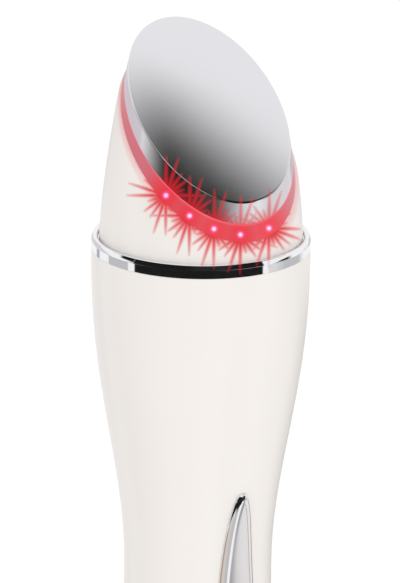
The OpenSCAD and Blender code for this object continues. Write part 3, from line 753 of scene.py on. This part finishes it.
def shell_outline(azimuth):
    corner = Vector(on_slant(azimuth, -shell_step, mouth))
    low = corner.y - shoulder
    start, end = Vector((head_r(low), low)), Vector(on_slant(azimuth, 0.02, mouth))
    outline = [(head_foot_r - 0.08, seat_z), (head_foot_r, seat_z + 0.08)]
    outline += [(head_r(z), z) for z in between(seat_z + 0.3, low, 24)]
    outline += [tuple(start * (1 - t) ** 2 + corner * 2 * t * (1 - t) + end * t * t)
                for t in between(0, 1, 8)[1:]]
    # inside: the mouth's wall down to the bulkhead, in to its middle, and out again below it
    wall_in = head_wall - shell_step
    outline += [on_slant(azimuth, wall_in, depth) for depth in between(mouth, bulkhead_top, 3)]
    outline += [(0, slant_z(azimuth, 0, bulkhead_top)), (0, slant_z(azimuth, 0, bulkhead_foot))]
    floor_z = seat_z + head_wall
    wall_r, wall_z = on_slant(azimuth, wall_in, bulkhead_foot)
    if wall_z < floor_z:
        drop = tan(slant) * cos(azimuth)
        wall_r, wall_z = (slant_z(azimuth, 0, bulkhead_foot) - floor_z) / drop, floor_z
        outline += [(wall_r, wall_z)] * 5       # so that every outline has as many points
    else:
        outline += [(head_r(z) - head_wall, z) for z in between(wall_z, floor_z, 4)]
    return outline + [(collar_in, floor_z), (collar_in, collar_z), (collar_out, collar_z),
                      (collar_out, seat_z)]


# led_burst: the light of one LED painted on what lies round it, as a star of straight thin rays.
# Across and Along span the flat sheet that the star is drawn on, and Toward is square to it.
masks = ("Core", "Halo", "Body", "Rays", "Spill")
# distances from the LED at which each mask starts to fade and is gone
fades = {"Core": (0.05, 0.42), "Halo": (0.24, 0.66), "Body": (0.9, 2.7), "Spill": (0.6, 4.6)}
ray_count = 20
ray_start = 1.0
long_ray, middle_ray, short_ray = 5.1, 3.5, 2.5
tip_width, root_width = 0.25, 0.55      # half-widths of a ray
burst, burst_in, burst_out = effect(
    "led_burst", {"LED": (0, 0, 0), "Across": (1, 0, 0), "Along": (0, 0, 1), "Toward": (0, -1, 0)},
    masks)


def fade(tree, value, start, end, smooth=True):
    """1 at start, easing to 0 at end."""
    return ramp(tree, value, start, end, 1.0, 0.0, smooth)


offset = vector_calc(burst, "SUBTRACT", object_place(burst), burst_in["LED"])
right_by, up_by, out_by = (
    calc(burst, "DIVIDE", vector_calc(burst, "DOT_PRODUCT", offset, burst_in[axis]), mm)
    for axis in ("Across", "Along", "Toward"))
reach = calc(burst, "SQRT", calc(burst, "ADD", times(burst, right_by, right_by),
                                 times(burst, up_by, up_by)))
on_this_side = fade(burst, calc(burst, "ABSOLUTE", out_by), 5.0, 8.5)
sector = calc(burst, "MULTIPLY_ADD", calc(burst, "ARCTAN2", right_by, up_by),
              ray_count / (2 * pi), ray_count + 0.5)
ray_index = calc(burst, "FLOOR", sector)
in_sector = calc(burst, "SUBTRACT", sector, ray_index)
off_axis = calc(burst, "ABSOLUTE", calc(burst, "SUBTRACT", in_sector, 0.5))
ray_angle = times(burst, off_axis, 2 * pi / ray_count)
sideways = times(burst, calc(burst, "SINE", ray_angle), reach)
# in each quarter turn two rays are long, two of middle length and one short
kind = calc(burst, "MODULO", ray_index, 5.0)
ray_length = calc(burst, "MULTIPLY_ADD", calc(burst, "LESS_THAN", kind, 3.5),
                  middle_ray - short_ray, short_ray)
ray_length = calc(burst, "MULTIPLY_ADD", calc(burst, "LESS_THAN", kind, 1.5),
                  long_ray - middle_ray, ray_length)
along_ray = fade(burst, reach, ray_start, ray_length, smooth=False)
ray_width = calc(burst, "MULTIPLY_ADD", along_ray, root_width - tip_width, tip_width)
spots = {mask: fade(burst, reach, *ends) for mask, ends in fades.items()}
spots["Rays"] = times(burst, fade(burst, sideways, 0.0, ray_width),
                      calc(burst, "POWER", along_ray, 0.35))
for mask in masks:
    feed(burst, times(burst, spots[mask], on_this_side), burst_out.inputs[mask])

# led_row: the bursts of all five LEDs together, on sheets that face the wand's front left and up
led_azimuths = (-54.2, -39, -24.4, -8.3, 12)
led_depth = (rim_t + mouth) / 2 + 0.08
star_turn, star_tilt = radians(-32), radians(17.5)
star_facing, star_right = heading(star_turn, star_tilt), heading(star_turn + pi / 2)
star_up = star_facing.cross(star_right)
led_row, _, row_out = effect("led_row", {}, masks)
row = {}
for degrees in led_azimuths:
    azimuth = radians(degrees)
    r, z = on_slant(azimuth, 0, led_depth)
    star = use(led_row, burst, LED=(heading(azimuth) * r + upright * z) * mm, Across=star_right,
               Along=star_up, Toward=star_facing)
    for mask in masks:
        row[mask] = calc(led_row, "MAXIMUM", row[mask], star[mask]) if mask in row else star[mask]
wire(led_row, row_out, **row)

led_light = (0.74, 0.02, 0.035)


def redden(finish, share, haze, spill_share, spill_colour):
    """Paints the red light of the LEDs over a finish: rays, the haze round each LED, and a soft red
    spill tinted into its colour, all painted light.
    """
    tree = finish.node_tree
    shader = tree.nodes["Principled BSDF"]
    glow = use(tree, led_row)
    plain = shader.inputs["Base Color"].links[0].from_socket
    # painted light: the LEDs' soft red spill, tinted into the base colour round each LED
    red_spill = blend_colours(tree, times(tree, glow["Spill"], spill_share), plain, spill_colour)
    light = calc(tree, "MAXIMUM", times(tree, glow["Rays"], share), times(tree, glow["Body"], haze))
    # painted glow: under the rays and haze the colour darkens and the surface shines red
    wire(tree, shader, Base_Color=blend_colours(tree, light, red_spill, (0, 0, 0)),
         Emission_Color=blend_colours(tree, light, (0, 0, 0), led_light), Emission_Strength=1.0)


def below_slant(tree, depth):
    """How far below the slanted plane at a depth a point lies, in mm."""
    square = vector_calc(tree, "DOT_PRODUCT", object_place(tree), slant_normal)
    return calc(tree, "MULTIPLY_ADD", square, -1 / mm, face_z * cos(slant) - depth)


head_white = moulded("head_white", *warm_whites, white_gloss)
tree = head_white.node_tree
shader = tree.nodes["Principled BSDF"]
# painted light: the red of the LEDs shining through the moulding along its mouth, tinted into its
# colour
shine_through = times(tree, fade(tree, below_slant(tree, mouth), 0.0, 0.75), 0.4)
plain = shader.inputs["Base Color"].links[0].from_socket
wire(tree, shader, Base_Color=blend_colours(tree, shine_through, plain, (0.78, 0.25, 0.26)))
# painted LED light: star rays, haze and a red spill on the head's white, and fainter rays on the
# chrome trim
redden(head_white, 1.0, 0.95, 0.3, (0.86, 0.5, 0.48))
redden(chrome, 0.5, 0.0, 0.0, (1, 1, 1))
neck_bosses = [boss(boss_at * cos(a), boss_at * sin(a), collar_z, seat_z)
               for a in (pi / 2, pi * 7 / 6, pi * 11 / 6)]
head_shell = piece("head_shell_moulding", [turned(shell_outline)] + neck_bosses, head_white,
                   crease=38)
holes = [(x, s, 0.85, 24) for x, s in posts] + [(0, 3, 3.0, 48)]      # the last is for the leads
drill_at, drill_through = bulkhead_top - 0.5, slant_normal * -2.2
cut(head_shell, [prism(circle(on_face(x, s, drill_at), side, slant_up, r, count), drill_through)
                 for x, s, r, count in holes], crease=38)
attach(head_shell, "handle")
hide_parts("head_shell")


# ---- Light ring ----
# A band of translucent red polycarbonate round the plate, which carries the light of the five
# LEDs behind it. Its skirt drops behind the shell's mouth, and its top is grooved for the gasket.

skirt_foot = 4.4
gasket_t = 0.32


def light_ring_outline(azimuth):
    outline = [on_slant(azimuth, inset, depth) for inset, depth in
               ((0.45, rim_t), (0.05, rim_t), (0.01, rim_t + 0.02), (0, rim_t + 0.07))]
    outline += [on_slant(azimuth, 0, depth) for depth in between(rim_t + 0.3, mouth - 0.05, 6)]
    return outline + [on_slant(azimuth, inset, depth) for inset, depth in
                      ((0.04, mouth), (1.0, mouth), (1.0, skirt_foot), (2.0, skirt_foot),
                       (2.0, mouth), (1.5, mouth), (1.5, rim_t), (1.25, rim_t),
                       (1.25, rim_t + gasket_t), (0.45, rim_t + gasket_t))]


glow_red, tree, ring_shader = new_finish("glow_ring", (0.5, 0.07, 0.09), 0.3, IOR=1.58)
skin = use(tree, moulding_skin, Mottle_Scale=260.0)
glow = use(tree, led_row)
near = calc(tree, "MAXIMUM", glow["Body"], glow["Spill"])
cloudy = blend_colours(tree, skin["Mottle"], (0.4, 0.075, 0.1), (0.36, 0.07, 0.075))
# the ring's glow, painted light: dull between the LEDs, a painted highlight along its top edge, and
# brightest at each LED
lit = blend_colours(tree, near, (0.25, 0.07, 0.09), (0.42, 0.02, 0.03))
edge_highlight = times(tree, fade(tree, below_slant(tree, rim_t), 0.05, 0.17), 0.25)
lit = blend_colours(tree, edge_highlight, lit, (0.9, 0.22, 0.28))
lit = blend_colours(tree, glow["Halo"], lit, (0.95, 0.04, 0.28))
lit = blend_colours(tree, glow["Core"], lit, (1.0, 0.78, 0.95))
# painted light: near the LEDs the base colour deepens to a fuller red
wire(tree, ring_shader, Base_Color=blend_colours(tree, near, cloudy, (0.4, 0.02, 0.03)),
     Emission_Color=lit, Emission_Strength=1.0, Normal=bump(tree, skin["Peel"], 0.05, 0.02))
light_ring = piece("light_ring_band", [turned(light_ring_outline)], glow_red, crease=38)
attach(light_ring, "handle")
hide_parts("light_ring")


# ---- Massage plate ----
# A heated cap of stainless steel, pressed and polished: a faintly crowned face, a crisp edge and
# a short rim, with three screw posts on its back.

face_t = 1.0
plate_wall = 1.5
crown = 0.3
edge_depth = 0.063          # of the face's edge below the plate's highest plane
face_rings = 26
post_r, post_depth, tap_r, tap_depth = 1.6, 3.6, 0.72, 1.8


def plate_outline(azimuth):
    face_r, _ = on_slant(azimuth, 0.05, edge_depth)
    outline = []
    for share in between(0, 0.96, face_rings) + [0.992, 1.0]:
        r = face_r * share
        # the crown lifts square to the face
        lift = crown * (1 - share * share) / cos(slant)
        outline.append((r, slant_z(azimuth, r, edge_depth) + lift))
    outline += [on_slant(azimuth, inset, depth)
                for inset, depth in ((0.015, 0.075), (0.0, 0.11), (0.0, 0.15))]
    outline += [on_slant(azimuth, 0, depth) for depth in between(0.4, rim_t - 0.06, 5)]
    return outline + [on_slant(azimuth, 0.06, rim_t), on_slant(azimuth, plate_wall, rim_t),
                      on_slant(azimuth, plate_wall, face_t), (0, slant_z(azimuth, 0, face_t))]


plate_metal = metal("polished_plate", (0.78, 0.78, 0.8), (0.81, 0.81, 0.83), (0.08, 0.13),
                    line_scale=5000.0, line_bump=0.01)
# painted LED light over the polished steel: red rays, haze round each LED and a faint red spill
redden(plate_metal, 0.75, 0.65, 0.15, (0.6, 0.2, 0.22))
plate_forms = [turned(plate_outline)]
for x, s in posts:
    plate_forms.append(tube([circle(on_face(x, s, depth), side, slant_up, r, 24) for depth, r in
                             ((face_t - overlap, post_r), (post_depth, post_r),
                              (post_depth, tap_r), (tap_depth, tap_r))], closed=False))
massage_plate = piece("massage_plate_cap", plate_forms, plate_metal, crease=30)
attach(massage_plate, "handle")
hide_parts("massage_plate")


# ---- Inlay ----
# A bright bezel, rounded up from the handle, round a satin face. Both are die cast, plated and
# bedded in the sleeve's recess, and the face holds on two heat stakes.

bezel_w = 0.95
face_lift, face_roll = 0.8, 0.02
face_inset = bezel_w + 0.015
bezel_top = 0.82
bezel_start = 0.01          # the bezel's gap to the recess wall
bezel_sweep = radians(78)      # its rounded top falls short of level at the face
split = 48                  # outline step where the rows end and the ring round the button starts

bezel_section = [(bezel_start, -inlay_depth)]
for a in between(0, bezel_sweep, 13):
    inward = (1 - cos(a)) / (1 - cos(bezel_sweep))
    bezel_section.append((bezel_start + (bezel_w - bezel_start) * inward,
                          bezel_top * sin(a) / sin(bezel_sweep)))
bezel_section += [(bezel_w, -inlay_depth)]


def inlay_sweep(inset, lift):
    return [on_handle(x, z, lift) for x, z in inlay_loop(inset)]


inlay_bezel = piece("inlay_bezel_trim", [tube([inlay_sweep(*point) for point in bezel_section])],
                    chrome, crease=40)
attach(inlay_bezel, "handle")
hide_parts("inlay_bezel")


def face_sheet(lift, roll):
    """The inlay's face as rows down to the button, then a ring round its bore."""
    def raised(x, z, at_edge):
        return on_handle(x, z, lift - (roll if at_edge else 0))

    edge = inlay_loop(face_inset)
    rows = rows_across(edge, split + 1)
    around = edge[split:len(edge) - split + 1] + rows[-1][-2:0:-1]
    centre = Vector((0, button_z))
    bore_loop = [centre + (Vector(p) - centre).normalized() * button_bore for p in around]
    rings = [[tuple(Vector(p).lerp(q, t)) for p, q in zip(around, bore_loop)]
             for t in between(0, 1, 6)]
    rim = len(edge) - 2 * split + 1
    sheet = grid([[raised(x, z, k == 0 or i in (0, len(row) - 1)) for i, (x, z) in enumerate(row)]
                  for k, row in enumerate(rows)])
    loops = [[raised(x, z, n == 0 and j < rim) for j, (x, z) in enumerate(ring)]
             for n, ring in enumerate(rings)]
    return [sheet, tube(loops, closed=False)], loops[-1]


top_forms, top_bore = face_sheet(face_lift, face_roll)
under_forms, under_bore = face_sheet(-inlay_depth, 0.0)
face_side = tube([inlay_sweep(face_inset, lift) for lift in (face_lift - face_roll, -inlay_depth)],
                 closed=False)
bore_side = tube([top_bore, under_bore], closed=False)
stake_r, stake_root = stake_hole - 0.05, 0.7        # the root lies below the handle's surface
stake_forms = [prism(circle((0, stake_root - handle_r(inlay_tip_z - s), inlay_tip_z - s),
                            side, upright, stake_r, 24), (0, wall - 0.5, 0)) for s in stakes]
satin = metal("inlay_satin", (0.8, 0.78, 0.77), (0.84, 0.82, 0.81), (0.24, 0.32), (6, 6, 0.25),
              900.0, 0.04)
inlay_face = piece("inlay_face_plate",
                   top_forms + under_forms + [face_side, bore_side] + stake_forms, satin, crease=40)
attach(inlay_face, "handle")
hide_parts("inlay_face")


# ---- Power button ----
# A plated cap with a softly domed top, held behind the face by a flange. Its stem presses the
# switch on the control board.

button_r = 2.75
button_proud = 1.2
button_flange, flange_t = button_r + 0.7, 0.7
stem_r = 1.2
dome = 14.0                 # radius of the cap's top
button_front = -handle_r(button_z) - button_proud
flange_front = -sqrt((handle_r(button_z) - wall) ** 2 - button_flange ** 2) + 0.12
button_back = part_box("power_button")[1].y / mm
button_side = [(0, 0.0)] + [(button_r * t, dome - sqrt(dome ** 2 - (button_r * t) ** 2))
                            for t in between(0, 0.9, 9)[1:]]
lip = button_side[-1][1]
button_side += [(button_r - 0.12, lip + 0.09), (button_r - 0.04, lip + 0.17), (button_r, lip + 0.3)]
flange_at = flange_front - button_front
button_side += [(button_r, flange_at), (button_flange, flange_at),
                (button_flange, flange_at + flange_t), (stem_r, flange_at + flange_t),
                (stem_r, button_back - button_front), (0, button_back - button_front)]
button_loops = [circle((0, button_front + y, button_z), side, upright, max(r, 1e-4), 64)
                for r, y in button_side]
button_satin = metal("button_satin", (0.66, 0.66, 0.68), (0.7, 0.7, 0.72), (0.22, 0.3),
                     line_scale=2500.0, line_bump=0.03)
power_button = piece("power_button_cap", [tube(button_loops, closed=False)], button_satin,
                     crease=40)
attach(power_button, "power_button")
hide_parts("power_button")


# ---- Heater, light board and carrier ----
# Under the plate: a polyimide heater film with etched tracks and a sensor bead glued to it, a foam
# pad, a gasket, five red LEDs on a slanted board, and the moulded carrier that three screws clamp.

def dress(finish, *nodes):
    """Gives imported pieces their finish."""
    for node in nodes:
        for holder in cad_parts[node].material_slots:
            holder.material = finish


# track_lines: Tracks are printed conductors that run one way with breaks, Pads small round lands
track_lines, lines_in, lines_out = effect(
    "track_lines", {"Track Scale": 900.0, "Pad Scale": 700.0}, ("Tracks", "Pads"))
lines_place = object_place(track_lines)
wave = add_node(track_lines, "TexWave", Vector=lines_place, Scale=lines_in["Track Scale"],
                Distortion=1.5, Detail=0.0)
lands = add_node(track_lines, "TexVoronoi", Vector=lines_place, Scale=lines_in["Pad Scale"])
wire(track_lines, lines_out, Tracks=fade(track_lines, wave.outputs["Fac"], 0.32, 0.26),
     Pads=fade(track_lines, lands.outputs["Distance"], 0.16, 0.22))


def printed(name, ground, track, pad, gloss, track_scale, pad_scale):
    """A printed film or board: tracks that show through the mask, and bright lands."""
    finish, tree, shader = new_finish(name, ground, gloss[0])
    lines = use(tree, track_lines, Track_Scale=track_scale, Pad_Scale=pad_scale)
    skin = use(tree, moulding_skin, Peel_Scale=2600.0)
    traced = blend_colours(tree, lines["Tracks"], ground, track)
    wire(tree, shader, Base_Color=blend_colours(tree, lines["Pads"], traced, pad),
         Metallic=spread_values(tree, lines["Pads"], 0.0, 0.9),
         Roughness=spread_values(tree, skin["Mottle"], *gloss),
         Normal=bump(tree, lines["Tracks"], 0.3, 0.03))
    return finish


heater_amber = printed("heater_amber", (0.52, 0.2, 0.03), (0.62, 0.3, 0.12), (0.6, 0.33, 0.16),
                       (0.25, 0.4), 260.0, 240.0)
board_green = printed("board_green", (0.02, 0.13, 0.05), (0.05, 0.22, 0.09), (0.75, 0.6, 0.3),
                      (0.22, 0.35), 420.0, 380.0)
foam_grey = moulded("foam_grey", (0.1, 0.1, 0.11), (0.16, 0.16, 0.17), (0.8, 0.95), 0.7, 2200.0)
chip_black = moulded("chip_black", (0.018, 0.018, 0.02), (0.03, 0.03, 0.032), (0.4, 0.55), 0.25,
                     4000.0)
moulded_white = moulded("moulded_white", (0.74, 0.73, 0.69), (0.79, 0.78, 0.75), (0.42, 0.58),
                        0.12, 1500.0)
bare_steel = metal("bare_steel", (0.47, 0.48, 0.5), (0.56, 0.57, 0.59), (0.24, 0.4), (1, 1, 6),
                   2500.0, 0.08)
led_lens = moulded("led_lens", (0.9, 0.2, 0.3), (0.95, 0.3, 0.4), (0.12, 0.2), 0.03, IOR=1.5,
                   Emission_Color=(1.0, 0.25, 0.4, 1), Emission_Strength=0.8)
dress(heater_amber, "heater_film")
dress(chip_black, "thermistor")
dress(foam_grey, "heater_pad", "plate_gasket")
dress(led_lens, "red_leds")
dress(board_green, "led_board")
dress(moulded_white, "plate_carrier")
dress(bare_steel, "plate_screws")


# ---- Neck frame ----
# A moulded flange and tube that snaps into the sleeve's top. Three screws pull the head shell's
# collar down onto it, with a black rubber seal under the ring.

seal_black = moulded("seal_black", (0.012, 0.012, 0.013), (0.024, 0.024, 0.025), (0.5, 0.68),
                     0.2, 1800.0)
dress(moulded_white, "neck_frame")
dress(seal_black, "neck_seal")
dress(bare_steel, "neck_screws")


# ---- Vibration motor ----
# A steel can motor in a rubber boot, with a moulded end cap and solder tags. It spins a half-round
# sintered weight on its shaft to shake the plate.

weight_grey = metal("weight_grey", (0.26, 0.26, 0.28), (0.34, 0.34, 0.36), (0.38, 0.55),
                    line_scale=4200.0, line_bump=0.3)
dress(bare_steel, "motor_can", "motor_shaft")
dress(chip_black, "motor_end_cap")
dress(foam_grey, "motor_boot")
dress(weight_grey, "eccentric_weight")


# ---- Switch and control board ----
# A green board stands behind the inlay. It carries the tact switch under the button, its chips
# and coils, and ivory nylon sockets for the leads.

connector_ivory = moulded("connector_ivory", (0.72, 0.68, 0.56), (0.78, 0.75, 0.64),
                          (0.38, 0.52), 0.1, 2000.0)
dress(board_green, "control_board")
dress(chip_black, "board_components", "switch_plunger")
dress(bare_steel, "tact_switch")
dress(connector_ivory, "wire_connectors")


# ---- Chassis and battery ----
# A moulded cradle, screwed to the end cap, that holds the board and a shrink-wrapped lithium cell
# with nickel tabs at its ends and a foam strip in front.

nickel = metal("nickel_tab", (0.6, 0.58, 0.54), (0.68, 0.66, 0.62), (0.2, 0.34), (6, 1, 1),
               2200.0, 0.06)
cell_wrap = moulded("cell_wrap", (0.025, 0.11, 0.27), (0.035, 0.14, 0.33), (0.18, 0.3), 0.5, 500.0)
dress(moulded_white, "chassis")
dress(bare_steel, "chassis_screws")
dress(cell_wrap, "battery_cell")
dress(nickel, "battery_tabs")
dress(foam_grey, "battery_strip")


# ---- Charging socket ----
# A pressed steel shell round a black tongue, soldered to its own small board, and the rubber ring
# that seals the end cap.

socket_steel = metal("socket_steel", (0.56, 0.56, 0.58), (0.64, 0.64, 0.66), (0.16, 0.28),
                     (1, 1, 8), 2600.0, 0.05)
dress(socket_steel, "charging_socket")
dress(chip_black, "socket_tongue")
dress(board_green, "charge_board")
dress(seal_black, "end_cap_seal")


# ---- Leads ----
# Pairs of thin PVC-covered wires: red to the heater and from the charging board, yellow to the
# LEDs, blue to the motor.

for finish_name, low, high, leads in (
        ("wire_red", (0.4, 0.02, 0.02), (0.5, 0.03, 0.03), ("heater_leads", "charge_leads")),
        ("wire_yellow", (0.66, 0.42, 0.03), (0.74, 0.5, 0.05), ("led_leads",)),
        ("wire_blue", (0.03, 0.07, 0.33), (0.04, 0.1, 0.42), ("motor_leads",))):
    dress(moulded(finish_name, low, high, (0.34, 0.48), 0.08, 3000.0), *leads)
